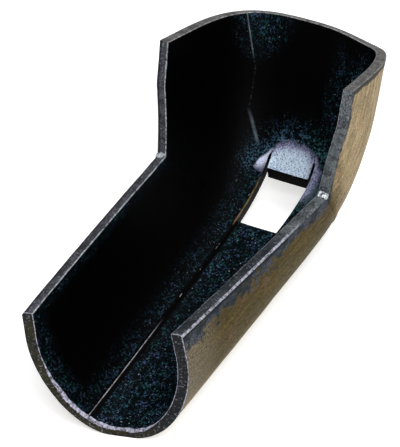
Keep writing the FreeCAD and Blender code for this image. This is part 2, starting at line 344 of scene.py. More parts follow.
def solid_from_layers(name, layers, seed):
    """A closed mesh from grids of (s, t): whole at both faces, their outlines only in between."""
    n, m = layers[0][0].shape
    ring = [(i, 0) for i in range(n)] + [(n - 1, j) for j in range(1, m)]
    ring += [(i, m - 1) for i in range(n - 2, -1, -1)] + [(0, j) for j in range(m - 2, 0, -1)]
    ri, rj = np.array(ring).T
    inside_edge = np.minimum(np.minimum(np.arange(n), n - 1 - np.arange(n))[:, None],
                             np.minimum(np.arange(m), m - 1 - np.arange(m))[None])
    calm = ease(inside_edge / 4.0)
    points, sheet = [], []
    for k, ((s, t), depth) in enumerate(zip(layers, DEPTHS)):
        if k in (0, len(DEPTHS) - 1):
            inner = k > 0
            uneven = 0.11 * MM * (1 + waves(s, t, seed + k, 26 * MM)) * calm
            d = depth + (-1 if inner else 1) * uneven
            if inner:
                d = d - 0.35 * MM * dish(s, t) * ease(inside_edge / 2.0)
        else:
            s, t, d = s[ri, rj], t[ri, rj], np.full(len(ring), depth)
        points.append(place(s, t, d).reshape(-1, 3))
        sheet.append(np.stack([s, t, np.broadcast_to(d, s.shape)], -1).reshape(-1, 3))
    starts = np.cumsum([0] + [len(p) for p in points])
    grid = np.arange(n * m).reshape(n, m)
    outer = np.stack([grid[:-1, :-1], grid[1:, :-1], grid[1:, 1:], grid[:-1, 1:]], -1).reshape(-1, 4)
    inner = outer[:, ::-1] + starts[-2]
    loops = [grid[ri, rj]] + [starts[k] + np.arange(len(ring)) for k in range(1, len(DEPTHS) - 1)]
    loops.append(grid[ri, rj] + starts[-2])
    rim = [np.stack([b, np.roll(b, -1), np.roll(a, -1), a], -1) for a, b in zip(loops, loops[1:])]
    faces = np.vstack([inner, outer] + rim)
    around = np.repeat([LOW, REAR, HIGH, FRONT], [n - 1, m - 1, n - 1, m - 1])
    kinds = np.concatenate([np.full(len(inner), INNER), np.full(len(outer), OUTER),
                            np.tile(around, len(rim))])
    return make_mesh(name, np.vstack(points), faces, kinds, np.vstack(sheet))


def name_places(mesh, sheet):
    """Keeps each vertex's place on the sheet, and its distances to the top, rear and lip edges."""
    s, t, depth = sheet.T
    below_top = np.interp(s, S_GRID, TOP_LINE) - np.abs(t)
    rim = np.stack([below_top, s_at_rear(t, depth) - s, s - s_at_lip(t, depth)], -1)
    for key, values in (("sheet", sheet), ("rim", rim)):
        mesh.attributes.new(key, "FLOAT_VECTOR", "POINT").data.foreach_set(
            "vector", values.astype(np.float32).ravel())


def make_mesh(name, points, faces, kinds, sheet):
    """A mesh object with its faces turned outwards and a material index for each."""
    a, b, c = (points[faces[:, k]] for k in (0, 1, 2))
    d = points[faces[:, -1]]
    volume = np.einsum("ij,ij->", a, np.cross(b, c)) + np.einsum("ij,ij->", a, np.cross(c, d))
    if volume < 0:
        faces = faces[:, ::-1]
    mesh = bpy.data.meshes.new(name)
    mesh.from_pydata(points.tolist(), [], faces.tolist())
    mesh.polygons.foreach_set("material_index", kinds.astype(np.int32))
    name_places(mesh, sheet)
    mesh.shade_smooth()
    mesh.set_sharp_from_angle(angle=math.radians(42))
    mesh.update()
    piece = bpy.data.objects.new(name, mesh)
    bpy.context.scene.collection.objects.link(piece)
    return piece


# ---- weld beads -----------------------------------------------------------------------------------
def bead(name, s, t, width, proud, bury, seed, both_faces=False):
    """A rippled bead along a line of places on the outer face, or through the plate to both faces."""
    count = 13
    q = np.linspace(-1, 1, count)
    here = place(s, t, 0.0)
    ahead = np.gradient(here, axis=0)
    run = np.concatenate([[0], np.cumsum(np.linalg.norm(np.diff(here, axis=0), axis=1))])
    ahead /= np.linalg.norm(ahead, axis=1)[:, None]
    out = here - place(s, t, 1.0 * MM)
    out /= np.linalg.norm(out, axis=1)[:, None]
    side = np.cross(out, ahead)
    taper = ease(np.minimum(run, run[-1] - run) / (0.9 * width) + 0.12)
    edge = 1 + 0.10 * waves(run[:, None], q[None] * 0 + np.sign(q)[None] * 9 * MM, seed, 5 * MM)
    arch = (1 - q**2)[None]
    ripple = 1 + 0.28 * np.sin(math.tau * (run[:, None] + 0.3 * width * arch) / RIPPLE_PITCH)
    lump = 1 + 0.3 * waves(run[:, None], q[None] * width, seed + 1, 9 * MM)
    crown = proud * arch * ripple * lump * taper[:, None]
    across = side[:, None] * (q[None] * width / 2 * edge * (0.35 + 0.65 * taper[:, None]))[..., None]
    top = here[:, None] + across + out[:, None] * crown[..., None]
    back = here - place(s, t, PLATE) if both_faces else out * bury
    low = here[:, None] + across[:, ::-1] - back[:, None]
    if both_faces:
        low = low - out[:, None] * crown[:, ::-1, None]
    rings = np.concatenate([top, low], axis=1)
    # Held at the foot's plane. Under the front right seam the plates lie in that plane too, and the bead
    # shows black from below: an open defect.
    rings[..., 2] = np.maximum(rings[..., 2], 0)
    piece = tube(name, rings, count if both_faces else None)
    if both_faces:
        beside = np.concatenate([q, q[::-1]])[None] * width / 2
        where = [np.ravel(s[:, None] + beside), np.repeat(t, 2 * count), np.zeros(rings[..., 0].size)]
        where = [np.append(v, [v[0], v[-1]]) for v in where]
        name_places(piece.data, np.stack(where, -1))
    return piece


def tube(name, rings, inner_from=None):
    """A closed solid through rings of points, with its two ends drawn to a middle point.

    Walls from the ring's point inner_from on have the second material.
    """
    n, m = rings.shape[:2]
    index = np.arange(n * m).reshape(n, m)
    nxt = np.roll(index, -1, axis=1)
    walls = np.stack([index[:-1], index[1:], nxt[1:], nxt[:-1]], -1).reshape(-1, 4)
    first = np.stack([np.full(m, n * m), index[0], nxt[0]], -1)
    last = np.stack([np.full(m, n * m + 1), nxt[-1], index[-1]], -1)
    points = np.vstack([rings.reshape(-1, 3), rings[0].mean(0), rings[-1].mean(0)])
    halves = np.vstack([walls[:, :3], walls[:, [0, 2, 3]], first, last])
    a, b, c = (points[halves[:, k]] for k in range(3))
    turn = -1 if np.einsum("ij,ij->", a, np.cross(b, c)) < 0 else 1
    faces = [face for part in (walls, first, last) for face in part[:, ::turn].tolist()]
    mesh = bpy.data.meshes.new(name)
    mesh.from_pydata(points.tolist(), [], faces)
    if inner_from is not None:
        kinds = np.concatenate([np.tile(np.arange(m) >= inner_from, n - 1), np.zeros(2 * m, bool)])
        mesh.polygons.foreach_set("material_index", kinds.astype(np.int32))
    mesh.shade_smooth()
    mesh.update()
    piece = bpy.data.objects.new(name, mesh)
    bpy.context.scene.collection.objects.link(piece)
    return piece


# ---- the pieces -----------------------------------------------------------------------------------
def seam_x(seams, side):
    return seams[0] if side < 0 else seams[1]


def seam_corners(side):
    """y of the corners of one side plate's inner edge."""
    front = seam_x(FRONT_SEAMS, side)
    slit = seam_x(REAR_SEAMS, side) + side * SLIT_WIDTH
    skew = math.tan(WINDOW_SKEW)
    return (WINDOW_Y[0] - front * skew, WINDOW_Y[1] - slit * skew, SLIT_END_Y,
            SLIT_END_Y + SLIT_ROUNDING)


def seam_line(side):
    """x by y of one side plate's inner edge: front seam, window, saw slit and rear seam."""
    front, rear = seam_x(FRONT_SEAMS, side), seam_x(REAR_SEAMS, side)
    slit = rear + side * SLIT_WIDTH
    return lambda y: np.interp(y, seam_corners(side), [front, slit, slit, rear])


def side_plate(side):
    def seam(depth, cut):
        tight = 0.15 + 0.85 * ease((180 * MM - S_GRID) / (20 * MM))
        return t_at_x(seam_line(side), depth) + side * cut * tight

    def top(depth, cut):
        (front, front_stretch), (rear, rear_stretch) = t_at_top(depth)
        uneven = 0.12 * MM * (1 + waves(S_GRID, depth * 0, 31 + side, 17 * MM))
        cut_front, cut_rear = front - cut * front_stretch, rear - cut * rear_stretch
        height = np.where(S_GRID < NOTCH_S - 6 * MM, cut_front, np.maximum(cut_front, cut_rear))
        return side * (height - uneven)

    name = "left_side_plate" if side < 0 else "right_side_plate"
    corners = [s_on_seam(side, y) for y in seam_corners(side)]
    stations = [s_at_lip, NOTCH_S - 2 * MM, NOTCH_S, NOTCH_S + 2 * MM, *corners, s_at_rear]
    seam_corner = 0.4 * MM if side < 0 else 0.1 * MM
    dressing = [(0.35 * MM, 1.4 * MM), (0.4 * MM, 0.4 * MM), (0.3 * MM, seam_corner),
                (1.3 * MM, 0.45 * MM)]
    piece = sheet_piece(name + "_pressed", stations, seam, top, dressing, 44, 3 + side)
    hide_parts(name)
    return piece


def floor_strip(name, stations, seams, groove, seed):
    """groove is the inner corner size along the strip's left and right side."""
    def line(x, sign):
        return lambda depth, cut: t_at_x(lambda y: np.full(np.shape(y), x), depth) + sign * cut

    low, high = line(seams[0], 1), line(seams[1], -1)
    front_end = (0.35 * MM, 1.4 * MM) if stations[0] is s_at_lip else (0.3 * MM, 0.4 * MM)
    rear_end = (0.4 * MM, 0.4 * MM)
    dressing = [front_end, rear_end, (0.3 * MM, groove[0]), (0.3 * MM, groove[1])]
    piece = sheet_piece(name + "_cut", stations, low, high, dressing, 17, seed)
    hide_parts(name)
    return piece


def seam_bead(name, side, seams, start, end, seed):
    """Bead on the outer face along a floor seam, from one place along the floor to another."""
    x = seam_x(seams, side)
    s = np.linspace(start, end, int((end - start) / (0.35 * MM)))
    t = np.interp(s, S_GRID, t_at_x(lambda y: np.full(np.shape(y), x), 0.0))
    piece = bead(name + "_bead", s, t, *SEAM_BEAD, seed)
    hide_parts(name)
    return piece


def mitre_bead(side, seed):
    """Dressed weld through the folded wall, from under the notch to the outside of the bend."""
    down = math.pi / 2 - BEND_ANGLE / 2
    run = np.linspace(1.0 * MM, (NOTCH[1] - MITRE_FOOT) / math.sin(down), 150)
    y, z = NOTCH[0] + run * math.cos(down), NOTCH[1] - run * math.sin(down)
    turned = np.arctan2(y - BEND_START, BEND_RADIUS - z)
    s = BEND_START + BEND_RADIUS * turned
    raised = BEND_RADIUS - np.hypot(y - BEND_START, BEND_RADIUS - z)
    t = [np.interp(r, half_section(np.full(len(T_GRID), a), T_GRID, 0.0)[1], T_GRID)
         for a, r in zip(s, raised)]
    name = ("left" if side < 0 else "right") + "_notch_weld"
    return bead(name + "_mitre", s, side * np.array(t), *MITRE_BEAD, seed, both_faces=True)


def notch_blob(side, seed):
    """Lumpy weld metal that wraps the corner of the two top edges, across the wall."""
    name = ("left" if side < 0 else "right") + "_notch_weld"
    s = np.array([NOTCH_S])
    (front, _), _ = t_at_top(0.0)
    t = side * np.interp(s, S_GRID, front)
    outer, inner = place(s, t, -0.1 * MM)[0], place(s, t, PLATE + 0.1 * MM)[0]
    rings = []
    for u in np.linspace(0, 1, 25):
        centre = outer + (inner - outer) * u - np.array([0, 0, 0.7 * MM])
        size = NOTCH_BLOB_RADIUS * (1 - abs(2 * u - 1) ** 3.2) ** 0.5 + 0.05 * MM
        angle = np.arange(28) / 28 * math.tau
        rough = 1 + 0.13 * waves(np.cos(angle) * 2 * MM + u * 4 * MM, np.sin(angle) * 2 * MM,
                                 seed, 3.2 * MM)
        wave = 1 + 0.05 * math.sin(u * math.tau * 3)
        rings.append(centre + np.stack([0 * angle, np.cos(angle) * rough * size * wave * 1.05,
                                        np.sin(angle) * rough * size * wave * 0.85], -1))
    return tube(name + "_blob", np.array(rings))


left_plate, right_plate = side_plate(-1), side_plate(1)
front_strip = floor_strip("front_floor_strip", [s_at_lip, s_at_window(0)], FRONT_SEAMS,
                          (0.8 * MM, 0.1 * MM), 11)
rear_strip = floor_strip("rear_floor_strip", [s_at_window(1), s_at_rear], REAR_SEAMS,
                         (0.1 * MM, 0.1 * MM), 12)
beads = [
    seam_bead("front_left_seam_weld", -1, FRONT_SEAMS, -1.5 * MM, WINDOW_Y[0] - 0.5 * MM, 21),
    seam_bead("front_right_seam_weld", 1, FRONT_SEAMS, 2.5 * MM, WINDOW_Y[0] - 0.5 * MM, 22),
    seam_bead("rear_left_seam_weld", -1, REAR_SEAMS, 183.0 * MM, FLOOR_LENGTH - 1.5 * MM, 23),
    seam_bead("rear_right_seam_weld", 1, REAR_SEAMS, 183.0 * MM, FLOOR_LENGTH - 3.5 * MM, 24),
]
for side, seed in ((-1, 25), (1, 27)):
    mitre, blob = mitre_bead(side, seed), notch_blob(side, seed + 1)
    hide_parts(("left" if side < 0 else "right") + "_notch_weld")
    beads += [mitre, blob]

# ---- materials ------------------------------------------------------------------------------------
class Paint:
    """A material whose colour, roughness and bump are built from its nodes."""

    def __init__(self, name, sheet=True):
        self.material = bpy.data.materials.new(name)
        self.material.use_nodes = True
        self.tree = self.material.node_tree
        self.shader = self.tree.nodes["Principled BSDF"]
        if sheet:
            where = self.node("ShaderNodeAttribute", attribute_name="sheet")
            self.where = where.outputs["Vector"]
        else:
            self.where = self.node("ShaderNodeTexCoord").outputs["Object"]
        split = self.node("ShaderNodeSeparateXYZ", Vector=self.where)
        self.s, self.t, self.depth = split.outputs
        if sheet:
            straight = self.node("ShaderNodeTexCoord").outputs["Object"]
            self.across = self.node("ShaderNodeSeparateXYZ", Vector=straight).outputs["X"]
            # distances to the top edge, the rear end and the lip
            rim = self.node("ShaderNodeAttribute", attribute_name="rim")
            self.rim = self.node("ShaderNodeSeparateXYZ", Vector=rim.outputs["Vector"]).outputs

    def node(self, kind, inputs=None, **values):
        made = self.tree.nodes.new(kind)
        for key, value in values.items():
            if key in made.inputs and not hasattr(type(made), key):
                self.feed(made.inputs[key], value)
            elif hasattr(made, key):
                setattr(made, key, value)
            else:
                self.feed(made.inputs[key], value)
        for key, value in (inputs or {}).items():
            self.feed(made.inputs[key], value)
        return made

    def feed(self, socket, value):
        if isinstance(value, bpy.types.NodeSocket):
            self.tree.links.new(value, socket)
        else:
            socket.default_value = value

    def stretch(self, x, y, z):
        """The place, stretched along each of its axes."""
        return self.node("ShaderNodeVectorMath", {0: self.where, 1: (x, y, z)},
                         operation="MULTIPLY").outputs[0]

    def noise(self, size, detail=3.0, rough=0.55, where=None, distort=0.0):
        made = self.node("ShaderNodeTexNoise", {"Vector": where or self.where, "Scale": 1 / size,
                                                "Detail": detail, "Roughness": rough,
                                                "Distortion": distort})
        return made.outputs["Fac"]

    def fit(self, value, low, high, to_low=0.0, to_high=1.0, kind="SMOOTHSTEP"):
        return self.node("ShaderNodeMapRange", {0: value, 1: low, 2: high, 3: to_low, 4: to_high},
                         interpolation_type=kind).outputs[0]

    def sum(self, operation, a, b=0.0, c=0.0):
        return self.node("ShaderNodeMath", {0: a, 1: b, 2: c}, operation=operation).outputs[0]

    def mix(self, share, a, b):
        made = self.node("ShaderNodeMix", data_type="RGBA")
        self.feed(made.inputs[0], share)
        for socket, value in ((made.inputs[6], a), (made.inputs[7], b)):
            self.feed(socket, value if isinstance(value, bpy.types.NodeSocket) else (*value, 1))
        return made.outputs[2]

    def blend(self, share, a, b):
        made = self.node("ShaderNodeMix", data_type="FLOAT")
        self.feed(made.inputs[0], share)
        self.feed(made.inputs[2], a)
        self.feed(made.inputs[3], b)
        return made.outputs[0]

    def bump(self, height, distance, strength=1.0, under=None):
        inputs = {"Height": height, "Distance": distance, "Strength": strength}
        if under is not None:
            inputs["Normal"] = under
        return self.node("ShaderNodeBump", inputs).outputs["Normal"]

    def finish(self, **sockets):
        for key, value in sockets.items():
            socket = self.shader.inputs[key.replace("_", " ")]
            if not isinstance(value, bpy.types.NodeSocket) and socket.type == "RGBA":
                value = (*value, 1)
            self.feed(socket, value)
        return self.material


def spot(p, s, t, long, wide):
    """1 at a place of the sheet, fading to 0 at its two half sizes."""
    ds = p.sum("DIVIDE", p.sum("SUBTRACT", p.s, s), long)
    dt = p.sum("DIVIDE", p.sum("SUBTRACT", p.t, t), wide)
    radius = p.sum("SQRT", p.sum("ADD", p.sum("MULTIPLY", ds, ds), p.sum("MULTIPLY", dt, dt)))
    return p.fit(radius, 1.0, 0.25)


def all_of(p, *shares):
    result = shares[0]
    for share in shares[1:]:
        result = p.sum("MULTIPLY", result, share)
    return result


def any_of(p, *shares):
    result = shares[0]
    for share in shares[1:]:
        result = p.sum("MAXIMUM", result, share)
    return result


def scratch(p, line, half_width):
    """1 along a line given as its t at each s."""
    away = p.sum("ABSOLUTE", p.sum("SUBTRACT", p.t, line))
    return p.fit(away, half_width, 0.2 * half_width)


def inside_finish():
    """Oily black mill finish with painted teal sparkle and glints where lit, and a painted reflection
    round the window's upper end.
    """
    p = Paint("black_inside")
    clouds = p.noise(16 * MM, 3)
    middling = p.noise(3.6 * MM, 4, 0.65)
    fine = p.noise(1.15 * MM, 6, 0.74)
    grain = p.noise(0.45 * MM, 5, 0.75)
    # painted light: where the lamps light the inside, which gets painted teal sparkle, glints and a
    # lighter black
    floor = all_of(p, p.fit(p.s, 180 * MM, 150 * MM), p.fit(p.t, -33 * MM, -8 * MM),
                   p.fit(p.t, 62 * MM, 40 * MM))
    lip_left = all_of(p, p.fit(p.rim[2], 15 * MM, 2 * MM, 0, 0.5), p.fit(p.t, -10 * MM, -30 * MM))
    rear = any_of(p, spot(p, 252 * MM, -30 * MM, 26 * MM, 22 * MM),
                  spot(p, 215 * MM, 32 * MM, 36 * MM, 20 * MM),
                  p.sum("MULTIPLY", spot(p, 214 * MM, 15 * MM, 38 * MM, 8 * MM), 0.6))
    glow = spot(p, 178 * MM, -2 * MM, 32 * MM, 34 * MM)
    under_top = all_of(p, p.fit(p.rim[0], 9 * MM, 2 * MM, 0, 0.4), p.fit(p.t, -20 * MM, -40 * MM),
                       p.fit(p.s, 150 * MM, 120 * MM))
    lit = any_of(p, floor, lip_left, p.sum("MULTIPLY", rear, 0.9), glow, under_top)
    seam_at = FRONT_SEAMS[0]
    # no painted sparkle beside the open joint, which ends at the window
    off_joint = any_of(p, p.fit(p.across, seam_at + 1.5 * MM, seam_at + 2.3 * MM),
                       p.fit(p.across, seam_at - 0.5 * MM, seam_at - 2.0 * MM),
                       p.fit(p.s, 140 * MM, 150 * MM))
    lit = p.sum("MULTIPLY", lit, off_joint)
    sparkle = all_of(p, p.fit(fine, 0.50, 0.61), p.fit(middling, 0.40, 0.57, 0.08, 1.1),
                    p.fit(clouds, 0.30, 0.62, 0.3, 1), lit)
    black = p.mix(lit, (0.0002, 0.0002, 0.0003), (0.0006, 0.0016, 0.0022))
    blue = p.mix(p.fit(p.noise(5 * MM, 3), 0.38, 0.62), (0.022, 0.110, 0.120), (0.050, 0.088, 0.185))
    colour = p.mix(sparkle, black, blue)
    glints = all_of(p, p.fit(p.noise(1.3 * MM, 3, 0.6), 0.66, 0.72), lit)
    colour = p.mix(glints, colour, (0.30, 0.38, 0.44))
    # painted sheen on the right wall's inner face, between the window and the right top edge
    wear_and_sheen = all_of(p, p.fit(p.t, 11 * MM, 17 * MM), p.fit(p.t, 52 * MM, 40 * MM),
                  p.fit(p.s, 98 * MM, 126 * MM), p.fit(p.s, 182 * MM, 168 * MM))
    grey = p.mix(p.fit(fine, 0.35, 0.68), (0.004, 0.007, 0.010), (0.11, 0.135, 0.15))
    colour = p.mix(p.sum("MULTIPLY", wear_and_sheen, p.fit(middling, 0.3, 0.55, 0.3, 0.95)), colour, grey)
    # painted highlight along the creased corner of the rear run, soft at its lower end and crisp towards
    # the rear edge
    crease_at = p.sum("ADD", p.fit(p.s, 188 * MM, 204 * MM, -21.0 * MM, -30.6 * MM, "LINEAR"),
                      p.fit(p.s, 226 * MM, 252 * MM, 0.0, -9.2 * MM, "LINEAR"))
    soft = all_of(p, scratch(p, crease_at, 1.6 * MM), p.fit(p.s, 186 * MM, 191 * MM),
                  p.fit(p.s, 206 * MM, 196 * MM, 0, 0.8))
    crisp = all_of(p, scratch(p, crease_at, 0.7 * MM), p.fit(p.s, 229 * MM, 237 * MM))
    dotted = all_of(p, scratch(p, crease_at, 0.8 * MM), p.fit(p.s, 198 * MM, 204 * MM),
                    p.fit(fine, 0.52, 0.64, 0, 0.25))
    crease_highlight = p.sum("MULTIPLY", any_of(p, soft, crisp, dotted), p.fit(middling, 0.3, 0.6, 0.45, 1))
    colour = p.mix(crease_highlight, colour, (0.10, 0.13, 0.16))
    # painted reflection round the window's upper end
    past_window = p.sum("SUBTRACT", p.s, WINDOW[1])
    above = p.sum("DIVIDE", past_window, p.fit(p.t, -16 * MM, -8 * MM, 11.5 * MM, 16.0 * MM))
    below = p.sum("DIVIDE", past_window, p.fit(p.t, -6 * MM, 6 * MM, -3.4 * MM, -17 * MM, "LINEAR"))
    ds = p.sum("MAXIMUM", above, below)
    dt = p.sum("DIVIDE", p.sum("ADD", p.t, 1.0 * MM), 18.0 * MM)
    radius = p.sum("SQRT", p.sum("ADD", p.sum("MULTIPLY", ds, ds), p.sum("MULTIPLY", dt, dt)))
    ragged = p.fit(p.noise(3.0 * MM, 5, 0.7), 0.2, 0.8, -0.15, 0.15, "LINEAR")
    ragged = p.sum("ADD", radius, p.sum("MULTIPLY", ragged, p.fit(p.t, -15 * MM, -9 * MM, 0.3, 1)))
    reflection = p.fit(ragged, p.fit(p.t, -15 * MM, -9 * MM, 1.04, 1.16),
                   p.fit(p.t, -15 * MM, -9 * MM, 0.92, 0.86))
    mottle = p.noise(0.9 * MM, 6, 0.75)
    bright = p.mix(p.fit(mottle, 0.36, 0.53), (0.10, 0.19, 0.40), (0.72, 0.86, 1.0))
    violet = p.mix(p.fit(mottle, 0.38, 0.60), (0.05, 0.052, 0.12), (0.37, 0.36, 0.56))
    aside = p.sum("MAXIMUM", p.fit(p.t, 9 * MM, 13 * MM), p.fit(p.t, -11 * MM, -13 * MM))
    shaded = p.sum("MAXIMUM", p.fit(ragged, 0.62, 1.0), p.sum("MULTIPLY", aside, 0.85))
    reflection_colour = p.mix(shaded, bright, violet)
    # the left lobe of the painted reflection is brightest along its outer rim
    lobe = p.fit(p.t, -11.5 * MM, -13 * MM)
    reflection_colour = p.mix(p.sum("MULTIPLY", lobe, 0.7), reflection_colour, (0.03, 0.032, 0.06))
    arc = all_of(p, lobe, p.fit(ragged, 0.60, 0.86), p.fit(above, -0.12, 0.30))
    pale = p.mix(p.fit(mottle, 0.36, 0.53), (0.30, 0.33, 0.50), (0.74, 0.80, 1.0))
    reflection_colour = p.mix(arc, reflection_colour, pale)
    holes = p.fit(p.noise(1.4 * MM, 3), 0.62, 0.70, 0, 0.8)
    reflection_colour = p.mix(holes, reflection_colour, (0.03, 0.05, 0.07))
    # painted sparkle round the edge of the reflection
    halo = all_of(p, p.fit(ragged, 1.75, 1.05), p.fit(fine, 0.48, 0.60), p.fit(middling, 0.36, 0.52))
    colour = p.mix(halo, colour, p.mix(p.fit(p.t, 0, 8 * MM), (0.05, 0.12, 0.19), (0.04, 0.15, 0.16)))
    colour = p.mix(reflection, colour, reflection_colour)
    rough = p.blend(reflection, p.fit(grain, 0.3, 0.7, 0.42, 0.65), p.fit(mottle, 0.3, 0.7, 0.35, 0.6))
    bump = p.bump(fine, 0.12 * MM, 0.8)
    bump = p.bump(p.noise(7 * MM, 2), 0.5 * MM, 0.3, bump)
    return p.finish(Base_Color=colour, Roughness=rough, Metallic=p.sum("MULTIPLY", reflection, 0.35),
                    Normal=bump, Specular_IOR_Level=0.03)


def outside_finish():
    """Worn mill finish outside: brown bare steel with upright streaks and dark scale at its rims.
    Painted light makes it lighter and tan towards the rear and top of the wall, olive and darker in
    front and towards the bottom.
    """
    p = Paint("worn_outside")
    streaks = p.noise(1.0, 5, 0.65, p.stretch(1 / (24 * MM), 1 / (2.4 * MM), 1))
    fine = p.noise(1.0, 5, 0.7, p.stretch(1 / (2.4 * MM), 1 / (1.0 * MM), 1))
    speckle = p.noise(0.9 * MM, 6, 0.75)
    clouds = p.noise(30 * MM, 4, 0.6)
    height = p.sum("ABSOLUTE", p.t)
    # painted light: lit towards the rear and the top of the wall; each mark below has a lighter copy
    # there
    rear = p.sum("MULTIPLY", p.fit(p.s, 108 * MM, 196 * MM), p.fit(height, 20 * MM, 50 * MM, 0.2, 1))
    wear_and_sheen = p.blend(0.55, streaks, speckle)
    tan = p.mix(p.fit(wear_and_sheen, 0.38, 0.62), (0.13, 0.092, 0.044), (0.43, 0.330, 0.190))
    olive = p.mix(p.fit(wear_and_sheen, 0.38, 0.62), (0.020, 0.014, 0.002), (0.090, 0.060, 0.010))
    share = p.sum("ADD", rear, p.fit(clouds, 0.3, 0.7, -0.25, 0.25, "LINEAR"))
    colour = p.mix(p.fit(share, 0.15, 0.85), olive, tan)
    rust = p.sum("MULTIPLY", p.fit(p.noise(13 * MM, 4, 0.6), 0.55, 0.70, 0, 0.65),
                 p.fit(speckle, 0.3, 0.6))
    colour = p.mix(rust, colour, p.mix(rear, (0.12, 0.060, 0.040), (0.42, 0.225, 0.135)))
    stains = p.noise(1.0, 4, 0.65, p.stretch(1 / (30 * MM), 1 / (7 * MM), 1))
    green = p.fit(stains, 0.54, 0.66, 0, 0.6)
    colour = p.mix(green, colour, p.mix(rear, (0.04, 0.045, 0.014), (0.135, 0.125, 0.055)))
    grime = p.fit(fine, 0.46, 0.68, 0, 0.85)
    colour = p.mix(grime, colour, p.mix(rear, (0.018, 0.014, 0.004), (0.11, 0.078, 0.035)))
    # painted shade: darker towards the bottom of the section
    colour = p.mix(p.fit(height, 34 * MM, 14 * MM, 0, 0.3), colour, (0.016, 0.012, 0.004))
    colour = p.mix(p.fit(speckle, 0.58, 0.74, 0, 0.4), colour,
                   p.mix(rear, (0.15, 0.115, 0.05), (0.46, 0.37, 0.24)))
    near_lip = all_of(p, p.fit(p.rim[2], 34 * MM, 4 * MM), p.fit(fine, 0.36, 0.60, 0.2, 0.75))
    colour = p.mix(near_lip, colour,
                   p.mix(p.fit(speckle, 0.36, 0.64), (0.045, 0.038, 0.028), (0.26, 0.22, 0.165)))
    fringe = all_of(p, p.fit(height, 47 * MM, 37 * MM), p.fit(p.s, 150 * MM, 100 * MM),
                    p.fit(wear_and_sheen, 0.4, 0.6, 0.15, 0.8))
    colour = p.mix(fringe, colour, (0.21, 0.150, 0.052))
    # dark scale along the top edge, wide in front, and a narrow burnt rim at the rear end
    front = p.fit(p.s, 128 * MM, 60 * MM)
    uneven = p.fit(p.noise(9 * MM, 5, 0.7), 0.3, 0.7, -1, 1, "LINEAR")
    width = p.sum("ADD", p.blend(front, 3.6 * MM, 9.0 * MM),
                  p.sum("MULTIPLY", uneven, p.blend(front, 2.4 * MM, 9.0 * MM)))
    notch = p.sum("MULTIPLY", p.fit(p.s, 92 * MM, 118 * MM), p.fit(p.s, 150 * MM, 134 * MM))
    width = p.sum("ADD", width, p.sum("MULTIPLY", notch, 4.0 * MM))
    scale = p.fit(p.sum("SUBTRACT", width, p.rim[0]), -1.4 * MM, 1.8 * MM)
    burnt = p.fit(p.sum("ADD", p.rim[1], p.sum("MULTIPLY", uneven, 0.8 * MM)), 3.4 * MM, 2.2 * MM)
    grey = p.mix(p.fit(speckle, 0.36, 0.64), (0.004, 0.008, 0.013), (0.060, 0.068, 0.090))
    grey = p.mix(p.fit(p.noise(8 * MM, 4, 0.6), 0.46, 0.56, 0, 0.85), grey, (0.003, 0.009, 0.011))
    below = p.sum("MULTIPLY", p.fit(p.rim[0], 4.6 * MM, 2.2 * MM, 0, 0.9), p.fit(p.s, 104 * MM, 88 * MM))
    grey = p.mix(below, grey, (0.003, 0.006, 0.009))
    flaked = p.fit(p.noise(2.4 * MM, 4, 0.7), 0.28, 0.5, 0.55, 1)
    colour = p.mix(p.sum("MULTIPLY", scale, flaked), colour, grey)
    colour = p.mix(burnt, colour,
                   p.mix(p.fit(speckle, 0.35, 0.7), (0.004, 0.004, 0.003), (0.07, 0.06, 0.045)))
    # a painted highlight strip on the rounding under the front half of the right top edge
    corner_highlight = all_of(p, p.fit(p.rim[0], 1.5 * MM, 0.9 * MM), p.fit(p.s, 104 * MM, 88 * MM),
                    p.fit(p.noise(3 * MM, 4, 0.7), 0.34, 0.52, 0.2, 1))
    colour = p.mix(corner_highlight, colour,
                   p.mix(p.fit(speckle, 0.38, 0.62), (0.07, 0.075, 0.10), (0.42, 0.42, 0.50)))
    rough = p.fit(fine, 0.3, 0.7, 0.42, 0.66)
    bump = p.bump(fine, 0.06 * MM, 0.6)
    bump = p.bump(streaks, 0.12 * MM, 0.4, bump)
    return p.finish(Base_Color=colour, Roughness=rough, Metallic=0.0, Normal=bump,
                    Specular_IOR_Level=0.03)


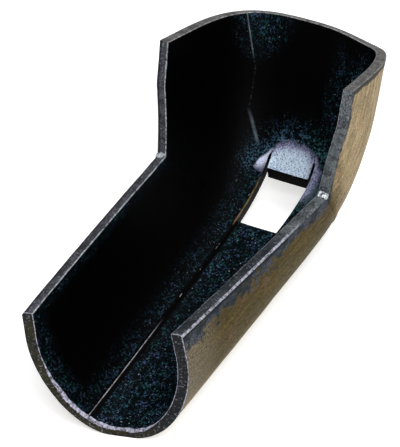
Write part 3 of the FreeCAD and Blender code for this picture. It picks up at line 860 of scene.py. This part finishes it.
def edge_finish(name, dark, light, pale, inner_width, inner_share, outer_share, outer_width,
                dim=None):
    """A sawn and filed edge: mottled in the middle of the plate, with a painted highlight on its rounded
    corners.

    inner_width, outer_share and dim are functions of the paint: the width of the pale inner corner,
    how much of the outer corner is pale, and where the edge is dark all over.
    """
    p = Paint(name)
    grain = p.noise(0.9 * MM, 6, 0.78)
    clouds = p.noise(7 * MM, 4, 0.65)
    colour = p.mix(p.fit(grain, 0.34, 0.68), dark, light)
    colour = p.mix(p.fit(clouds, 0.44, 0.62, 0, 0.6), colour, tuple(0.3 * c for c in dark))
    if dim:
        colour = p.mix(dim(p), colour, (0.0015, 0.004, 0.007))
    specks = p.fit(p.noise(1.1 * MM, 4, 0.7), 0.575, 0.65, 0, 0.65)
    colour = p.mix(specks, colour, tuple(0.45 * c for c in pale))
    patchy = p.fit(p.noise(2.6 * MM, 5, 0.75), 0.38, 0.56, 0.12, 1)
    past_inner = p.sum("SUBTRACT", p.depth, p.sum("SUBTRACT", PLATE, inner_width(p)))
    inner = p.fit(past_inner, 0.0, 0.25 * MM, 0, inner_share)
    outer = p.sum("MULTIPLY", p.fit(p.depth, outer_width, 0.75 * outer_width), outer_share(p))
    corner = p.sum("MAXIMUM", inner, outer)
    if "top" in name:    # the corner at the lip gets the painted highlight too
        patchy = p.sum("MAXIMUM", patchy, p.fit(p.rim[2], 1.0 * MM, 0.5 * MM, 0, 0.9))
        corner = p.sum("MAXIMUM", corner, p.fit(p.rim[2], 0.9 * MM, 0.45 * MM, 0, 0.8))
    corner_highlight = p.sum("MULTIPLY", corner, patchy)
    colour = p.mix(corner_highlight, colour,
                   p.mix(p.fit(grain, 0.34, 0.66), tuple(0.35 * c for c in pale), pale))
    rough = p.fit(grain, 0.3, 0.7, 0.42, 0.66)
    return p.finish(Base_Color=colour, Roughness=rough, Metallic=0.15, Specular_IOR_Level=0.08,
                    Normal=p.bump(grain, 0.14 * MM, 0.8))


def joint_finish():
    """Oily black edge inside a joint, slit or window, painted black also as the shade in there."""
    p = Paint("joint_edge")
    grain = p.noise(1.0 * MM, 5, 0.7)
    colour = p.mix(p.fit(grain, 0.3, 0.7), (0.0006, 0.0006, 0.0008), (0.0035, 0.0040, 0.0042))
    return p.finish(Base_Color=colour, Roughness=p.fit(grain, 0.3, 0.7, 0.5, 0.75),
                    Specular_IOR_Level=0.04, Normal=p.bump(grain, 0.1 * MM, 0.5))


def seam_line_finish():
    """The left plate's inner edge: a painted highlight along it in the front seam, brown at the window's
    corner.
    """
    p = Paint("seam_line")
    grain = p.noise(1.2 * MM, 5, 0.75)
    # painted highlight on the inner corner: solid towards the lip, in spots further back
    front = p.sum("MULTIPLY", p.fit(p.s, 70 * MM, 52 * MM), p.fit(p.rim[2], 3 * MM, 20 * MM, 0.3, 1))
    spotty = p.fit(p.noise(6 * MM, 3, 0.7), 0.57, 0.62)
    shown = p.sum("MAXIMUM", front, p.sum("MULTIPLY", spotty, p.fit(p.s, 138 * MM, 105 * MM, 0, 0.7)))
    corner = p.fit(p.depth, PLATE - 0.30 * MM, PLATE - 0.16 * MM)
    wear_and_sheen = p.fit(p.noise(3 * MM, 5, 0.75), 0.34, 0.52, 0.25, 1)
    black = p.mix(p.fit(grain, 0.3, 0.7), (0.0006, 0.0006, 0.0008), (0.0035, 0.0040, 0.0042))
    colour = p.mix(all_of(p, shown, corner, wear_and_sheen), black,
                   p.mix(grain, (0.22, 0.22, 0.25), (0.66, 0.66, 0.72)))
    window = p.sum("MULTIPLY", p.fit(p.s, 139 * MM, 143 * MM), p.fit(p.s, 174 * MM, 166 * MM))
    rim_at = p.fit(p.noise(4 * MM, 4, 0.7), 0.3, 0.7, 3.6 * MM, 4.5 * MM)
    rim = p.fit(p.sum("SUBTRACT", p.depth, rim_at), 0.0, 0.4 * MM)
    brown = p.mix(p.fit(grain, 0.35, 0.65), (0.03, 0.022, 0.008), (0.22, 0.16, 0.065))
    brown = p.mix(p.fit(p.s, 154 * MM, 145 * MM), brown, (0.19, 0.105, 0.05))
    colour = p.mix(p.sum("MULTIPLY", window, rim), colour, brown)
    return p.finish(Base_Color=colour, Roughness=p.fit(grain, 0.3, 0.7, 0.4, 0.65),
                    Specular_IOR_Level=0.06, Normal=p.bump(grain, 0.1 * MM, 0.5))


def weld_finish(name, dark, light, metallic, gloss, patch=4 * MM, shade=0.75):
    """Weld metal, darkened in patches of one size by one share."""
    p = Paint(name, sheet=False)
    grain = p.noise(0.7 * MM, 6, 0.75)
    clouds = p.noise(patch, 3)
    colour = p.mix(p.fit(grain, 0.32, 0.68), dark, light)
    colour = p.mix(p.fit(clouds, 0.48, 0.66, 0, shade), colour, tuple(0.4 * c for c in dark))
    rough = p.fit(grain, 0.3, 0.7, 0.22, 0.5)
    return p.finish(Base_Color=colour, Roughness=rough, Metallic=metallic,
                    Specular_IOR_Level=gloss, Normal=p.bump(grain, 0.14 * MM, 0.7))


def lip_width(p):
    """Width of the pale inner corner at the lip: wide and ragged at the bottom."""
    broad = p.sum("MULTIPLY", p.fit(p.t, -64 * MM, -36 * MM), p.fit(p.t, 26 * MM, 10 * MM))
    ragged = p.fit(p.noise(4 * MM, 4, 0.7), 0.3, 0.7, -0.45 * MM, 0.45 * MM, "LINEAR")
    return p.sum("ADD", p.blend(broad, 0.4 * MM, 1.35 * MM), p.sum("MULTIPLY", ragged, broad))


def thin_width(p):
    """Width of the pale inner corner elsewhere."""
    return p.fit(p.noise(6 * MM, 4, 0.7), 0.3, 0.7, 0.35 * MM, 0.75 * MM, "LINEAR")


inside, outside, joint = inside_finish(), outside_finish(), joint_finish()
lip = edge_finish("lip_edge", (0.004, 0.005, 0.002), (0.036, 0.031, 0.012), (0.56, 0.55, 0.70),
                  lip_width, 1.0, lambda p: p.fit(p.t, 30 * MM, 46 * MM, 0, 0.8), 0.4 * MM,
                  lambda p: any_of(p, p.fit(p.t, 8 * MM, 30 * MM, 0, 0.8),
                                   p.fit(p.rim[0], 7 * MM, 2 * MM, 0, 0.6),
                                   p.fit(p.depth, 0.9 * MM, 0.3 * MM, 0, 0.8)))
top = edge_finish("top_edge", (0.010, 0.014, 0.020), (0.185, 0.205, 0.215), (0.46, 0.46, 0.54),
                  thin_width, 0.9, lambda p: p.fit(p.s, 110 * MM, 86 * MM), 0.8 * MM,
                  lambda p: p.fit(p.s, 104 * MM, 84 * MM, 0, 0.72))
left_top = edge_finish("left_top_edge", (0.003, 0.004, 0.005), (0.110, 0.104, 0.130),
                       (0.52, 0.58, 0.62), thin_width, 0.95, lambda p: 0.0, 0.6 * MM,
                       lambda p: p.fit(p.depth, 2.3 * MM, 1.2 * MM, 0, 0.9))
rear_rim = edge_finish("rear_edge", (0.020, 0.020, 0.022), (0.21, 0.20, 0.19), (0.46, 0.45, 0.46),
                       thin_width, 0.7, lambda p: p.fit(p.t, 20 * MM, 40 * MM, 0.0, 0.3), 0.6 * MM)
seam_line = seam_line_finish()
skins = {
    left_plate: (inside, outside, lip, rear_rim, seam_line, left_top),
    right_plate: (inside, outside, lip, rear_rim, joint, top),
    front_strip: (inside, outside, lip, joint, joint, joint),
    rear_strip: (inside, outside, joint, rear_rim, joint, joint),
}
for piece, finishes in skins.items():
    for finish in finishes:
        piece.data.materials.append(finish)
    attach(piece, "root")
seam_metal = weld_finish("seam_weld_metal", (0.035, 0.026, 0.014), (0.17, 0.125, 0.07), 0.4, 0.3)
mitre_inside = weld_finish("mitre_inside", (0.0002, 0.0002, 0.0003), (0.0012, 0.0012, 0.0016), 0.0, 0.02)
blob_metal = weld_finish("notch_weld_metal", (0.07, 0.09, 0.10), (0.74, 0.78, 0.83), 0.6, 0.5,
                         patch=2.2 * MM, shade=0.95)
for piece in beads:
    if "mitre" in piece.name:
        piece.data.materials.append(outside)
        piece.data.materials.append(mitre_inside)
    else:
        piece.data.materials.append(blob_metal if "blob" in piece.name else seam_metal)
    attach(piece, "root")

# ---- floor, light and camera ----------------------------------------------------------------------
FLOOR_HALF = 6.0
LIGHTS = (    # name, azimuth, elevation, distance, size and power
    ("key", 60, 50, 1.3, 0.9, 16),
    ("fill", -70, 40, 1.5, 1.2, 5),
    ("back", 170, 60, 1.4, 0.9, 7),
)
CAMERA_ANGLES = (33.29, 40.24, 8.77)    # azimuth, elevation and roll, fitted to the photo
CAMERA_AIM = (-5.9, -9.0, -5.1)         # mm from the middle of the CAD box
CAMERA_DISTANCE = 1.2192
CAMERA_LENS = 240


def studio():
    """White paper floor, soft daylight and three lamps."""
    mesh = bpy.data.meshes.new("floor")
    half = FLOOR_HALF
    mesh.from_pydata([(-half, -half, 0), (half, -half, 0), (half, half, 0), (-half, half, 0)], [],
                     [(0, 1, 2, 3)])
    floor = bpy.data.objects.new("floor", mesh)
    bpy.context.scene.collection.objects.link(floor)
    p = Paint("floor_paper", sheet=False)
    speck = p.noise(0.004, 3)
    paper = p.mix(speck, (0.90, 0.90, 0.90), (0.94, 0.94, 0.935))
    p.finish(Base_Color=paper, Roughness=0.9, Specular_IOR_Level=0.1, Emission_Color=paper,
             Emission_Strength=0.45)
    mesh.materials.append(p.material)
    world = bpy.data.worlds.new("studio")
    world.use_nodes = True
    world.node_tree.nodes["Background"].inputs["Color"].default_value = (0.95, 0.97, 1.0, 1)
    world.node_tree.nodes["Background"].inputs["Strength"].default_value = 0.3
    bpy.context.scene.world = world
    bpy.context.scene.view_settings.view_transform = "Standard"
    centre = (cad_low + cad_high) / 2
    for name, azimuth, elevation, distance, size, power in LIGHTS:
        light = bpy.data.lights.new(name, "AREA")
        light.size = size
        light.energy = power
        lamp = bpy.data.objects.new(name, light)
        a, e = math.radians(azimuth), math.radians(elevation)
        toward = Vector((math.sin(a) * math.cos(e), -math.cos(a) * math.cos(e), math.sin(e)))
        lamp.location = centre + toward * distance
        lamp.rotation_mode = "QUATERNION"
        lamp.rotation_quaternion = toward.to_track_quat("Z", "Y")
        bpy.context.scene.collection.objects.link(lamp)


def camera():
    """The photo's camera, as fitted to it."""
    azimuth, elevation, roll = (math.radians(a) for a in CAMERA_ANGLES)
    aim = (cad_low + cad_high) / 2 + Vector(CAMERA_AIM) * MM
    back = Vector((math.sin(azimuth) * math.cos(elevation),
                   -math.cos(azimuth) * math.cos(elevation), math.sin(elevation)))
    level = Vector((math.cos(azimuth), math.sin(azimuth), 0))
    up = back.cross(level)
    right = level * math.cos(roll) - up * math.sin(roll)
    up = back.cross(right)
    data = bpy.data.cameras.new("camera")
    data.sensor_width = 36
    data.sensor_fit = "HORIZONTAL"
    data.lens = CAMERA_LENS
    data.clip_start, data.clip_end = 0.05, 30
    seen = bpy.data.objects.new("camera", data)
    turn = Matrix((right, up, back)).transposed().to_4x4()
    seen.matrix_world = Matrix.Translation(aim + back * CAMERA_DISTANCE) @ turn
    bpy.context.scene.collection.objects.link(seen)
    bpy.context.scene.camera = seen


studio()
camera()
